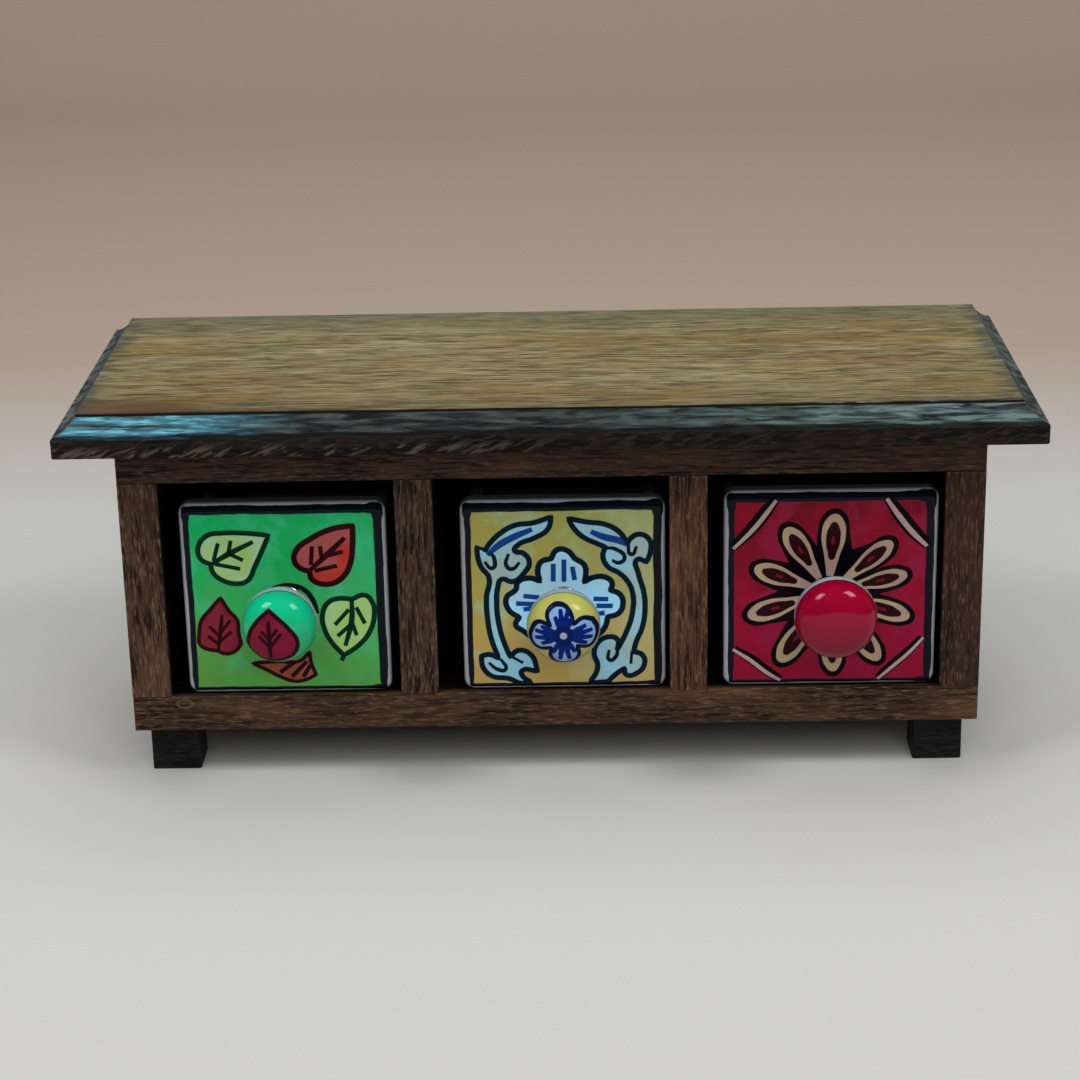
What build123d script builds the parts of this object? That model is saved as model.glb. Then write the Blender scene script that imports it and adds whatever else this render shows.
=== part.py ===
"""Three-drawer desk box: a nailed hardwood case with a moulded top board, and three
slip-cast ceramic drawers with ceramic knobs. Millimetres, +Z up, drawers open along -Y.
The origin is on the floor, in the middle of the whole box seen from above."""

from build123d import *
import os

# ---- driving dimensions: top board ------------------------------------------------
board_length = 305.0
board_depth = 127.0
board_thickness = 12.1
fascia_height = 5.2  # straight outer edge, below the moulding
nose_radius = 1.2  # rounding between the fascia and the sloping moulding
moulding_width = 7.3  # from the outer edge in to the flat top face
quirk_height = 0.9  # small square step under the top face
board_corner_round = 1.6
overhang_side = 16.4
overhang_front = 16.6
overhang_back = 16.6

# ---- driving dimensions: case -----------------------------------------------------
upper_plank_thickness = 14.0
bottom_plank_thickness = 12.0
side_thickness = 12.5
partition_thickness = 12.0
partition_shift = 0.0  # how far both partitions stand to the right of even spacing
bay_height = 72.4
back_panel_thickness = 4.0
back_panel_inset = 0.8  # the panel stops this far inside the case outline
plank_edge_round = 0.8
upright_edge_round = 0.5
foot_width = 15.8
foot_depth = 15.8
foot_height = 16.6
foot_inset = 3.8
foot_setback = 7.0
foot_edge_round = 0.8
shim_thickness = 0.6  # leaf over the front right foot, which is that much shorter
shim_proud = 1.4  # the leaf shows this far past the foot's outer side
shim_front_margin = 1.0

# ---- driving dimensions: ceramic drawers ------------------------------------------
drawer_recess = 1.2  # drawer faces stand this far behind the case front
drawer_running_gap = 0.2
drawer_stop_gap = 0.3  # between the closed drawer and the back panel
front_height = {"left": 64.8, "middle": 64.4, "right": 66.2}
side_gaps = {"left": (5.8, 3.0), "middle": (8.2, 1.2), "right": (5.1, 1.6)}
front_thickness = 7.0
front_corner_radius = 3.6
front_edge_radius = 2.8
front_back_radius = 1.2
front_lip = 1.8  # the front stands this far past the tray on each side
tray_height = 54.0
wall_thickness = 4.4
floor_thickness = 4.8
tray_corner_radius = 5.0
tray_foot_round = 1.4
front_ledge = 1.6  # how far the tray's front wall stands behind the front
well_corner_radius = 5.0
well_floor_radius = 3.2
well_draft = 1.5  # degrees, so that the cast leaves its mould
rim_radius = 1.5

# ---- driving dimensions: knobs ----------------------------------------------------
knob_radius = {"left": 11.8, "middle": 11.5, "right": 12.9}
knob_drop = {"left": 1.0, "middle": 2.5, "right": 2.0}  # below the middle of the front
knob_projection = 27.7
knob_dome_height = 9.0
knob_shoulder_height = 9.0
knob_neck_radius = 4.8
knob_foot_radius = 5.6
knob_foot_height = 1.2
knob_neck_curve = 2.2
collar_radius = 5.9
collar_thickness = 1.2
collar_edge_radius = 0.5
stud_radius = 2.0
stud_in_knob = 18.0
stud_past_nut = 1.8
stud_chamfer = 0.4
stud_fit = 0.05  # round a stud in its knob and nut
stud_hole_clearance = 0.5
washer_radius = 4.5
washer_thickness = 0.8
washer_hole_clearance = 0.15
washer_seat_clearance = 0.6
nut_across_flats = 7.0
nut_thickness = 3.2

# ---- driving dimensions: nails, screws and pins -----------------------------------
fastener_fit = 0.05  # round a nail, screw or pin in its hole
nail_radius = 0.9
nail_head_radius = 2.0
nail_head_thickness = 0.8
nail_length = 30.0
nail_from_front = 30.0
nail_from_back = 24.0
screw_radius = 1.6
screw_head_radius = 3.2
screw_head_height = 2.0
board_screw_length = 21.0
board_screw_from_ends = 20.0
foot_screw_length = 21.0
foot_screw_sink = 3.0  # the head lies this deep in the foot
pin_radius = 0.6
pin_head_radius = 1.3
pin_head_height = 0.6
pin_length = 13.0
pins_per_rail = 5
pin_from_end = 14.0

# ---- places worked out from the dimensions ----------------------------------------
case_width = board_length - 2 * overhang_side
case_depth = board_depth - overhang_front - overhang_back
plank_depth = case_depth - back_panel_thickness
knob_reach = max(knob_projection - drawer_recess, overhang_front)
front_y = (knob_reach - case_depth - overhang_back) / 2
plank_back_y = front_y + plank_depth
case_back_y = front_y + case_depth

bay_floor_z = foot_height + bottom_plank_thickness
bay_ceiling_z = bay_floor_z + bay_height
board_z = bay_ceiling_z + upper_plank_thickness

even_bay = (case_width - 2 * side_thickness - 2 * partition_thickness) / 3
left_side_x = -case_width / 2
left_partition_x = left_side_x + side_thickness + even_bay + partition_shift
right_partition_x = left_partition_x + partition_thickness + even_bay
right_side_x = case_width / 2 - side_thickness
uprights = {
    "left_side": (left_side_x, side_thickness),
    "left_partition": (left_partition_x, partition_thickness),
    "right_partition": (right_partition_x, partition_thickness),
    "right_side": (right_side_x, side_thickness),
}
bays = {
    "left": (left_side_x + side_thickness, left_partition_x),
    "middle": (left_partition_x + partition_thickness, right_partition_x),
    "right": (right_partition_x + partition_thickness, right_side_x),
}

nail_rows = (front_y + nail_from_front, plank_back_y - nail_from_back)
nail_spots = {
    name: [(x + width / 2, y) for y in nail_rows] for name, (x, width) in uprights.items()
}
all_nail_spots = [spot for spots in nail_spots.values() for spot in spots]
board_screw_rows = (front_y + board_screw_from_ends, plank_back_y - board_screw_from_ends)
board_screw_spots = [
    (sum(bays[side]) / 2, y) for side in ("left", "right") for y in board_screw_rows
]
foot_x = case_width / 2 - foot_inset - foot_width / 2
foot_front_y = front_y + foot_setback + foot_depth / 2
foot_back_y = case_back_y - foot_setback - foot_depth / 2
feet = {
    "front_left_foot": (-foot_x, foot_front_y),
    "front_right_foot": (foot_x, foot_front_y),
    "back_left_foot": (-foot_x, foot_back_y),
    "back_right_foot": (foot_x, foot_back_y),
}
pin_span = case_width - 2 * pin_from_end
pin_columns = [-pin_span / 2 + pin_span * n / (pins_per_rail - 1) for n in range(pins_per_rail)]
bottom_pin_z = foot_height + bottom_plank_thickness / 2
upper_pin_z = board_z - upper_plank_thickness / 2
side_pin_z = bay_floor_z + bay_height / 2
side_pin_columns = [left_side_x + side_thickness / 2, right_side_x + side_thickness / 2]

drawer_face_y = front_y + drawer_recess
front_back_y = drawer_face_y + front_thickness
tray_front_y = front_back_y - tray_corner_radius
tray_back_y = plank_back_y - drawer_stop_gap
tray_z = bay_floor_z + drawer_running_gap
well_front_y = front_back_y + front_ledge
nut_y = well_front_y + washer_thickness
stud_front_y = drawer_face_y - stud_in_knob
stud_back_y = nut_y + nut_thickness + stud_past_nut
knob_middle = knob_projection - knob_dome_height

os.makedirs("parts", exist_ok=True)


def finish(part, label):
    """Names one finished piece and writes its file."""
    part.label = label
    export_step(part, f"parts/{label}.step")
    print(f"{label}: {len(part.solids())} solid(s), {part.volume / 1000:.2f} cm3")


# ---- top board --------------------------------------------------------------------
def board_section(width):
    """Outline of the moulded board: fascia, nose, slope, quirk and flat top face."""
    half = width / 2
    slope_top = board_thickness - quirk_height
    nose_top = (half - nose_radius, fascia_height + nose_radius)
    slope_end = (half - moulding_width, slope_top)
    with BuildLine() as outline:
        Polyline((0, 0), (half, 0), (half, fascia_height))
        RadiusArc((half, fascia_height), nose_top, -nose_radius)
        Spline(nose_top, slope_end, tangents=((-1, 0.35), (-1, 0.9)))
        Polyline(slope_end, (half - moulding_width, board_thickness), (0, board_thickness))
        mirror(about=Plane.YZ)
    return outline.line


board_middle = (0, front_y - overhang_front + board_depth / 2, board_z)
along_section = board_section(board_depth)
across_section = board_section(board_length)
with BuildPart() as top_board:
    with BuildSketch(Plane(board_middle, x_dir=(0, 1, 0), z_dir=(1, 0, 0))):
        with BuildLine():
            add(along_section)
        make_face()
    extrude(amount=board_length / 2, both=True)
    with BuildSketch(Plane(board_middle, x_dir=(1, 0, 0), z_dir=(0, -1, 0))):
        with BuildLine():
            add(across_section)
        make_face()
    extrude(amount=board_depth / 2, both=True, mode=Mode.INTERSECT)
    with BuildSketch(Plane(board_middle)):
        RectangleRounded(board_length, board_depth, board_corner_round)
    extrude(amount=board_thickness, mode=Mode.INTERSECT)
    with Locations(*[Plane((x, y, board_z), z_dir=(0, 0, -1)) for x, y in board_screw_spots]):
        Hole(screw_radius + fastener_fit, depth=board_screw_length - upper_plank_thickness)
finish(top_board.part, "top_board")


# ---- case planks and uprights -----------------------------------------------------
def plank(thickness, z):
    """Full-width plank, with its two front edges and its ends eased."""
    middle = Plane((0, front_y + plank_depth / 2, z + thickness / 2))
    with BuildPart(middle) as board:
        Box(case_width, plank_depth, thickness)
        front_face = board.faces().sort_by(Axis.Y)[0]
        fillet(front_face.edges(), plank_edge_round)
    return board.part


bottom_blank = plank(bottom_plank_thickness, foot_height)
with BuildPart() as bottom_plank:
    add(bottom_blank)
    with Locations(*[Plane((x, y, foot_height), z_dir=(0, 0, -1)) for x, y in all_nail_spots]):
        CounterBoreHole(
            nail_radius + fastener_fit,
            nail_head_radius + fastener_fit,
            nail_head_thickness,
            depth=bottom_plank_thickness,
        )
    with Locations(*[Plane((x, y, foot_height), z_dir=(0, 0, -1)) for x, y in feet.values()]):
        Hole(screw_radius + fastener_fit, depth=foot_screw_length + foot_screw_sink - foot_height)
    with Locations(*[Plane((x, plank_back_y, bottom_pin_z), z_dir=(0, 1, 0)) for x in pin_columns]):
        Hole(pin_radius + fastener_fit, depth=pin_length - back_panel_thickness)
finish(bottom_plank.part, "bottom_plank")

upper_blank = plank(upper_plank_thickness, bay_ceiling_z)
with BuildPart() as upper_plank:
    add(upper_blank)
    with Locations(*[(x, y, board_z) for x, y in all_nail_spots]):
        CounterBoreHole(
            nail_radius + fastener_fit,
            nail_head_radius + fastener_fit,
            nail_head_thickness,
            depth=upper_plank_thickness,
        )
    with Locations(*[Plane((x, y, bay_ceiling_z), z_dir=(0, 0, -1)) for x, y in board_screw_spots]):
        CounterBoreHole(
            screw_radius + fastener_fit,
            screw_head_radius + fastener_fit,
            screw_head_height,
            depth=upper_plank_thickness,
        )
    with Locations(*[Plane((x, plank_back_y, upper_pin_z), z_dir=(0, 1, 0)) for x in pin_columns]):
        Hole(pin_radius + fastener_fit, depth=pin_length - back_panel_thickness)
finish(upper_plank.part, "upper_plank")

lower_nail_grip = nail_length - bottom_plank_thickness
upper_nail_grip = nail_length - upper_plank_thickness
for name, (x, width) in uprights.items():
    middle = (x + width / 2, front_y + plank_depth / 2, bay_floor_z + bay_height / 2)
    with BuildPart() as upright:
        with Locations(middle):
            Box(width, plank_depth, bay_height)
        front_face = upright.faces().sort_by(Axis.Y)[0]
        fillet(front_face.edges().filter_by(Axis.Z), upright_edge_round)
        with Locations(*[Plane((*s, bay_floor_z), z_dir=(0, 0, -1)) for s in nail_spots[name]]):
            Hole(nail_radius + fastener_fit, depth=lower_nail_grip)
        with Locations(*[(*spot, bay_ceiling_z) for spot in nail_spots[name]]):
            Hole(nail_radius + fastener_fit, depth=upper_nail_grip)
        if name.endswith("side"):
            with Locations(Plane((middle[0], plank_back_y, side_pin_z), z_dir=(0, 1, 0))):
                Hole(pin_radius + fastener_fit, depth=pin_length - back_panel_thickness)
    finish(upright.part, name)

# ---- back panel -------------------------------------------------------------------
pin_spots = [(x, z) for x in pin_columns for z in (bottom_pin_z, upper_pin_z)]
pin_spots += [(x, side_pin_z) for x in side_pin_columns]
panel_height = board_z - foot_height - back_panel_inset
with BuildPart() as back_panel:
    with Locations((0, plank_back_y + back_panel_thickness / 2, board_z - panel_height / 2)):
        Box(case_width - 2 * back_panel_inset, back_panel_thickness, panel_height)
    with Locations(*[Plane((x, case_back_y, z), z_dir=(0, 1, 0)) for x, z in pin_spots]):
        CounterBoreHole(
            pin_radius + fastener_fit,
            pin_head_radius + fastener_fit,
            pin_head_height,
            depth=back_panel_thickness,
        )
finish(back_panel.part, "back_panel")

# ---- feet and shim ----------------------------------------------------------------
for name, (x, y) in feet.items():
    height = foot_height - (shim_thickness if name == "front_right_foot" else 0)
    with BuildPart() as foot:
        with Locations((x, y, height / 2)):
            Box(foot_width, foot_depth, height)
        fillet(foot.edges().filter_by(Axis.Z), foot_edge_round)
        with Locations(Plane((x, y, 0), z_dir=(0, 0, -1))):
            CounterBoreHole(
                screw_radius + fastener_fit,
                screw_head_radius + fastener_fit,
                foot_screw_sink + screw_head_height,
                depth=height,
            )
    finish(foot.part, name)

shim_x, shim_y = feet["front_right_foot"]
with BuildPart() as shim_leaf:
    with Locations((shim_x + shim_proud, shim_y, foot_height - shim_thickness / 2)):
        Box(foot_width, foot_depth - 2 * shim_front_margin, shim_thickness)
    with Locations(Plane((shim_x, shim_y, foot_height))):
        Hole(screw_radius + fastener_fit, depth=shim_thickness)
finish(shim_leaf.part, "shim_leaf")


# ---- nails, screws and pins -------------------------------------------------------
def headed_rod(seat, length, radius, head_radius, head_height):
    """Nail, screw or pin: a rod with a point and a flat head, which lies under the seat."""
    with BuildPart() as rod:
        with BuildSketch(seat):
            Circle(head_radius)
        extrude(amount=-head_height)
        with BuildSketch(seat):
            Circle(radius)
        extrude(amount=-length)
        chamfer(rod.edges().sort_by(lambda e: e.center().sub(seat.origin).length)[-1], radius / 2)
    return rod.part


def fastener_group(label, seats, length, radius, head_radius, head_height):
    """One node of separate, like fasteners."""
    rods = [headed_rod(seat, length, radius, head_radius, head_height) for seat in seats]
    with BuildPart() as group:
        add(rods)
    finish(group.part, label)


down, backward = (0, 0, -1), (0, 1, 0)
fastener_group(
    "lower_nails",
    [Plane((x, y, foot_height), z_dir=down) for x, y in all_nail_spots],
    nail_length,
    nail_radius,
    nail_head_radius,
    nail_head_thickness,
)
fastener_group(
    "upper_nails",
    [Plane((x, y, board_z)) for x, y in all_nail_spots],
    nail_length,
    nail_radius,
    nail_head_radius,
    nail_head_thickness,
)
fastener_group(
    "top_board_screws",
    [Plane((x, y, bay_ceiling_z), z_dir=down) for x, y in board_screw_spots],
    board_screw_length,
    screw_radius,
    screw_head_radius,
    screw_head_height,
)
fastener_group(
    "foot_screws",
    [Plane((x, y, foot_screw_sink), z_dir=down) for x, y in feet.values()],
    foot_screw_length,
    screw_radius,
    screw_head_radius,
    screw_head_height,
)
fastener_group(
    "back_panel_pins",
    [Plane((x, case_back_y, z), z_dir=backward) for x, z in pin_spots],
    pin_length,
    pin_radius,
    pin_head_radius,
    pin_head_height,
)


# ---- ceramic drawers --------------------------------------------------------------
def cast_front(x_range, height):
    """Pillow-shaped front, rounded all round."""
    middle = (sum(x_range) / 2, drawer_face_y, tray_z + height / 2)
    with BuildPart() as front:
        with BuildSketch(Plane(middle, x_dir=(1, 0, 0), z_dir=(0, -1, 0))):
            RectangleRounded(x_range[1] - x_range[0], height, front_corner_radius)
        extrude(amount=-front_thickness)
        fillet(front.faces().sort_by(Axis.Y)[0].edges(), front_edge_radius)
        fillet(front.faces().sort_by(Axis.Y)[-1].edges(), front_back_radius)
    return front.part


def cast_tray(x_range):
    """Open tray behind the front: drafted well, rolled rim, rounded foot."""
    left, right = x_range[0] + front_lip, x_range[1] - front_lip
    x_middle, width = (left + right) / 2, right - left
    tray_middle = (x_middle, (tray_front_y + tray_back_y) / 2)
    well_back_y = tray_back_y - wall_thickness
    well_middle = (x_middle, (well_front_y + well_back_y) / 2)
    with BuildPart() as tray:
        with BuildSketch(Plane((*tray_middle, tray_z))):
            RectangleRounded(width, tray_back_y - tray_front_y, tray_corner_radius)
        extrude(amount=tray_height)
        fillet(tray.faces().sort_by(Axis.Z)[0].edges(), tray_foot_round)
        with BuildSketch(Plane((*well_middle, tray_z + tray_height))):
            RectangleRounded(
                width - 2 * wall_thickness, well_back_y - well_front_y, well_corner_radius
            )
        extrude(amount=floor_thickness - tray_height, taper=well_draft, mode=Mode.SUBTRACT)
        well_floor = tray.faces().filter_by(Axis.Z).sort_by(Axis.Z)[-2]
        fillet(well_floor.edges(), well_floor_radius)
        fillet(tray.faces().sort_by(Axis.Z)[-1].edges(), rim_radius)
    return tray.part


for side, (bay_left, bay_right) in bays.items():
    x_range = (bay_left + side_gaps[side][0], bay_right - side_gaps[side][1])
    knob_x = sum(x_range) / 2
    knob_z = tray_z + front_height[side] / 2 - knob_drop[side]
    tray_solid = cast_tray(x_range)
    front_solid = cast_front(x_range, front_height[side])
    with BuildPart() as drawer:
        add(tray_solid)
        add(front_solid)
        with Locations(Plane((knob_x, drawer_face_y, knob_z), z_dir=(0, -1, 0))):
            Hole(stud_radius + stud_hole_clearance, depth=nut_y + nut_thickness - drawer_face_y)
        with BuildSketch(Plane((knob_x, well_front_y, knob_z), z_dir=backward)):
            Circle(washer_radius + washer_seat_clearance)
        extrude(amount=washer_thickness + nut_thickness, mode=Mode.SUBTRACT)
    finish(drawer.part, f"{side}_drawer")

    # knob and its hardware, turned or seated about the stud's axis
    axis_start = (knob_x, drawer_face_y, knob_z)
    axis = Axis(axis_start, (0, -1, 0))
    profile = Plane(axis_start, x_dir=(1, 0, 0), z_dir=(0, 0, -1))
    radius = knob_radius[side]
    foot_top = collar_thickness + knob_foot_height
    neck_start = (knob_neck_radius, foot_top + knob_neck_curve)
    neck_end = (knob_neck_radius, knob_middle - knob_shoulder_height)
    widest = (radius, knob_middle)
    with BuildPart() as knob:
        with BuildSketch(profile):
            with BuildLine():
                Polyline((0, collar_thickness), (knob_foot_radius, collar_thickness))
                Line((knob_foot_radius, collar_thickness), (knob_foot_radius, foot_top))
                Spline((knob_foot_radius, foot_top), neck_start, tangents=((-1, 0.6), (0, 1)))
                Line(neck_start, neck_end)
                Spline(neck_end, widest, tangents=((1, 0.4), (0, 1)))
                Spline(widest, (0, knob_projection), tangents=((0, 1), (-1, 0)))
                Line((0, knob_projection), (0, collar_thickness))
            make_face()
        revolve(axis=axis)
        with BuildSketch(Plane((knob_x, stud_front_y, knob_z), z_dir=backward)):
            Circle(stud_radius + stud_fit)
        extrude(amount=stud_in_knob, mode=Mode.SUBTRACT)
    finish(knob.part, f"{side}_knob")

    with BuildPart() as collar:
        with BuildSketch(Plane(axis_start, z_dir=(0, -1, 0))):
            Circle(collar_radius)
            Circle(stud_radius + stud_hole_clearance, mode=Mode.SUBTRACT)
        extrude(amount=collar_thickness)
        outer_edge = collar.faces().sort_by(Axis.Y)[0].edges().sort_by(SortBy.RADIUS)[-1]
        fillet(outer_edge, collar_edge_radius)
    finish(collar.part, f"{side}_knob_collar")

    with BuildPart() as stud:
        with BuildSketch(Plane((knob_x, stud_front_y, knob_z), z_dir=backward)):
            Circle(stud_radius)
        extrude(amount=stud_back_y - stud_front_y)
        chamfer(stud.edges().filter_by(GeomType.CIRCLE), stud_chamfer)
    finish(stud.part, f"{side}_knob_stud")

    with BuildPart() as washer:
        with BuildSketch(Plane((knob_x, well_front_y, knob_z), z_dir=backward)):
            Circle(washer_radius)
            Circle(stud_radius + washer_hole_clearance, mode=Mode.SUBTRACT)
        extrude(amount=washer_thickness)
    finish(washer.part, f"{side}_knob_washer")

    with BuildPart() as nut:
        with BuildSketch(Plane((knob_x, nut_y, knob_z), z_dir=backward)):
            RegularPolygon(nut_across_flats / 2, 6, major_radius=False)
            Circle(stud_radius + stud_fit, mode=Mode.SUBTRACT)
        extrude(amount=nut_thickness)
    finish(nut.part, f"{side}_knob_nut")
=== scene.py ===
from math import cos, pi, radians, sin

import bmesh
import bpy
from mathutils import Matrix, Vector


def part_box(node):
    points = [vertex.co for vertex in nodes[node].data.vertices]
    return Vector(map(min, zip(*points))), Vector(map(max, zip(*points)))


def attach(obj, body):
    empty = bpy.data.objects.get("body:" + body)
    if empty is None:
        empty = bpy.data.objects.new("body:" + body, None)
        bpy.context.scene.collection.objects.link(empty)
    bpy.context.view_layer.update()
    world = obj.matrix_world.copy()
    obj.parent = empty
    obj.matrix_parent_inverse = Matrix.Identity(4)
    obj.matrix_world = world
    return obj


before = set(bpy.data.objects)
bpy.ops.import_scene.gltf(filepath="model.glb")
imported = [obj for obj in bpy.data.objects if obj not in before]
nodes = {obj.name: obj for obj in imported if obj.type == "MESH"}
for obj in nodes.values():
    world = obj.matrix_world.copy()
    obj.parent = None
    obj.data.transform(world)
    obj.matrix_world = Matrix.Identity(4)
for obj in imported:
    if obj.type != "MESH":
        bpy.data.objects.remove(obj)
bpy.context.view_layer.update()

# ---- camera, floor and light ---------------------------------------------------------
# The box stands on a pale table top before a warm plain wall, seen from a little above.
# Two small soft lamps, high at the left and right, give the knobs their paired highlights,
# and two wide ones, above and in front, fill the shadows and stay out of reflections.
PHOTO_SIDE = 1080
PHOTO_FOCAL_PIXELS = 2661.0
SENSOR_MM = 36.0
CAMERA_PLACE = (0.0107, -0.8301, 0.3663)
CAMERA_PITCH, CAMERA_YAW, CAMERA_ROLL = radians(19.93), radians(1.04), radians(-1.22)
scene = bpy.context.scene
scene.view_settings.view_transform = "Standard"
camera_data = bpy.data.cameras.new("camera")
camera_data.sensor_width = SENSOR_MM
camera_data.lens = PHOTO_FOCAL_PIXELS * SENSOR_MM / PHOTO_SIDE
camera = bpy.data.objects.new("camera", camera_data)
camera.matrix_world = (
    Matrix.Translation(CAMERA_PLACE)
    @ Matrix.Rotation(CAMERA_YAW, 4, "Z")
    @ Matrix.Rotation(pi / 2 - CAMERA_PITCH, 4, "X")
    @ Matrix.Rotation(CAMERA_ROLL, 4, "Z")
)
scene.collection.objects.link(camera)
scene.camera = camera


def shader_node(tree, kind, *inputs, **settings):
    """Adds one node. Inputs are (socket, value) pairs, where a value may be a socket to link."""
    node = tree.nodes.new("ShaderNode" + kind)
    for name, value in settings.items():
        setattr(node, name, value)
    for socket, value in inputs:
        if isinstance(value, bpy.types.NodeSocket):
            tree.links.new(value, node.inputs[socket])
        else:
            node.inputs[socket].default_value = value
    return node


def new_material(name):
    """An empty material, with its tree and its Principled shader."""
    material = bpy.data.materials.new(name)
    material.use_nodes = True
    return material, material.node_tree, material.node_tree.nodes["Principled BSDF"]


def fade(tree, value, start, end, first, second):
    """Colour that runs evenly from the first at start to the second at end."""
    share = shader_node(tree, "MapRange", ("Value", value), ("From Min", start), ("From Max", end))
    return shader_node(
        tree, "Mix", (0, share.outputs[0]), (6, first), (7, second), data_type="RGBA"
    ).outputs[2]


def keep_piece(shape, name, material, body=None):
    """Turns a bmesh in metres into a finished object, riding on its body."""
    mesh = bpy.data.meshes.new(name)
    shape.to_mesh(mesh)
    shape.free()
    piece = bpy.data.objects.new(name, mesh)
    scene.collection.objects.link(piece)
    mesh.materials.append(material)
    if body:
        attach(piece, body)
    return piece


MM = 0.001
FLOOR_SIZE, WALL_DISTANCE, WALL_BEND, WALL_HEIGHT, BEND_STEPS = 3.2, 1.1, 0.5, 1.9, 16
NEAR_COLOUR, TABLE_COLOUR = (0.55, 0.55, 0.53, 1), (0.53, 0.545, 0.54, 1)
WALL_COLOUR = (0.45, 0.365, 0.30, 1)
NEAR_END, TABLE_START, TABLE_END, WALL_START = -0.5, 0.2, 0.22, 0.45
FLOOR_ROUGHNESS = 0.75
table_top, tree, bsdf = new_material("table_top")
place = shader_node(tree, "TexCoord").outputs["Object"]
distance = shader_node(tree, "SeparateXYZ", ("Vector", place)).outputs["Y"]
near_half = fade(tree, distance, NEAR_END, TABLE_START, NEAR_COLOUR, TABLE_COLOUR)
both_halves = fade(tree, distance, TABLE_END, WALL_START, near_half, WALL_COLOUR)
tree.links.new(both_halves, bsdf.inputs["Base Color"])
bsdf.inputs["Roughness"].default_value = FLOOR_ROUGHNESS
sweep = bmesh.new()
bmesh.ops.create_grid(sweep, x_segments=1, y_segments=1, size=FLOOR_SIZE / 2)
bmesh.ops.translate(sweep, verts=sweep.verts, vec=(0, WALL_DISTANCE - FLOOR_SIZE / 2, 0))
far_edge = [e for e in sweep.edges if all(abs(v.co.y - WALL_DISTANCE) < MM for v in e.verts)]
bend = bmesh.ops.spin(
    sweep, geom=far_edge, cent=(0, WALL_DISTANCE, WALL_BEND), axis=(1, 0, 0), angle=pi / 2, steps=BEND_STEPS
)
top_edge = [e for e in bend["geom_last"] if isinstance(e, bmesh.types.BMEdge)]
wall = bmesh.ops.extrude_edge_only(sweep, edges=top_edge)
wall_top = [v for v in wall["geom"] if isinstance(v, bmesh.types.BMVert)]
bmesh.ops.translate(sweep, verts=wall_top, vec=(0, 0, WALL_HEIGHT))
for face in sweep.faces:
    face.smooth = True
floor = keep_piece(sweep, "floor", table_top)

BOX_MIDDLE = Vector((0, 0, 0.06))
WARM_WHITE, WHITE = (1.0, 0.98, 0.96), (1.0, 1.0, 1.0)
WORLD_STRENGTH = 0.11


def soft_lamp(name, place, size, watts, colour, in_reflections=True):
    """Square lamp that faces the box."""
    data = bpy.data.lights.new(name, "AREA")
    data.size, data.energy, data.color = size, watts, colour
    lamp = bpy.data.objects.new(name, data)
    lamp.location = place
    lamp.rotation_euler = (BOX_MIDDLE - Vector(place)).to_track_quat("-Z", "Y").to_euler()
    lamp.visible_glossy = in_reflections
    scene.collection.objects.link(lamp)


soft_lamp("lamp_left", (-0.96, -0.62, 1.4), size=0.6, watts=10.0, colour=WARM_WHITE)
soft_lamp("lamp_right", (0.96, -0.62, 1.4), size=0.6, watts=10.0, colour=WARM_WHITE)
soft_lamp("lamp_over", (0.0, 0.3, 1.7), size=1.2, watts=9.5, colour=WHITE, in_reflections=False)
soft_lamp("lamp_front", (0.1, -1.45, 1.3), size=1.3, watts=17.0, colour=WARM_WHITE, in_reflections=False)
world = bpy.data.worlds.new("soft_light")
scene.world = world
world.use_nodes = True
world.node_tree.nodes["Background"].inputs["Color"].default_value = (*WARM_WHITE, 1)
world.node_tree.nodes["Background"].inputs["Strength"].default_value = WORLD_STRENGTH

# ---- case: planks, sides, partitions, back panel, feet, shim leaf ----------------------
# Planks of a coarse hardwood, nailed together, stained nearly black and rubbed back by
# hand, so that their edges show bare fibre while the bays keep the full stain, which is
# darkened further to near black deep inside as painted shade. The feet are small black
# blocks, screwed on. Each piece has its own part of the noise.
def srgb(*levels):
    """Linear colour from the usual red, green and blue of 0 to 255."""
    return (*(((c / 255 + 0.055) / 1.055) ** 2.4 if c > 10 else c / 255 / 12.92 for c in levels), 1)


def maths(tree, operation, first, second=0.0):
    return shader_node(tree, "Math", (0, first), (1, second), operation=operation).outputs[0]


def both(tree, first, second):
    return maths(tree, "MULTIPLY", first, second)


def noise(tree, place, scale, detail=3.0, distortion=0.0):
    """Noise over the place, with its scale in grains per millimetre along each axis."""
    stretched = shader_node(
        tree, "VectorMath", (0, place), (1, [grains / MM for grains in scale]), operation="MULTIPLY"
    )
    return shader_node(
        tree, "TexNoise", ("Vector", stretched.outputs[0]), ("Scale", 1.0), ("Detail", detail),
        ("Distortion", distortion),
    ).outputs[0]


def between(tree, value, low, high):
    """Smooth mask, 0 at low and 1 at high."""
    return shader_node(
        tree, "MapRange", ("Value", value), ("From Min", low), ("From Max", high),
        interpolation_type="SMOOTHSTEP",
    ).outputs[0]


def mixed(tree, factor, first, second):
    """Mix of two colours, each of them a socket or a constant."""
    return shader_node(tree, "Mix", (0, factor), (6, first), (7, second), data_type="RGBA").outputs[2]


def place_of(tree):
    """The place on the piece as a vector, and its three numbers in metres."""
    place = shader_node(tree, "TexCoord").outputs["Object"]
    return place, *shader_node(tree, "SeparateXYZ", ("Vector", place)).outputs[:3]


def shifted_by(tree, place, shift):
    return shader_node(tree, "VectorMath", (0, place), (1, shift), operation="ADD").outputs[0]


def new_group(name, inputs, outputs):
    """An empty shader group, with its tree, its input node and its output node."""
    group = bpy.data.node_groups.new(name, "ShaderNodeTree")
    for socket, kind in inputs.items():
        group.interface.new_socket(socket, in_out="INPUT", socket_type=kind)
    for socket in outputs:
        group.interface.new_socket(socket, in_out="OUTPUT", socket_type="NodeSocketFloat")
    return group, group.nodes.new("NodeGroupInput").outputs, group.nodes.new("NodeGroupOutput").inputs


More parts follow.
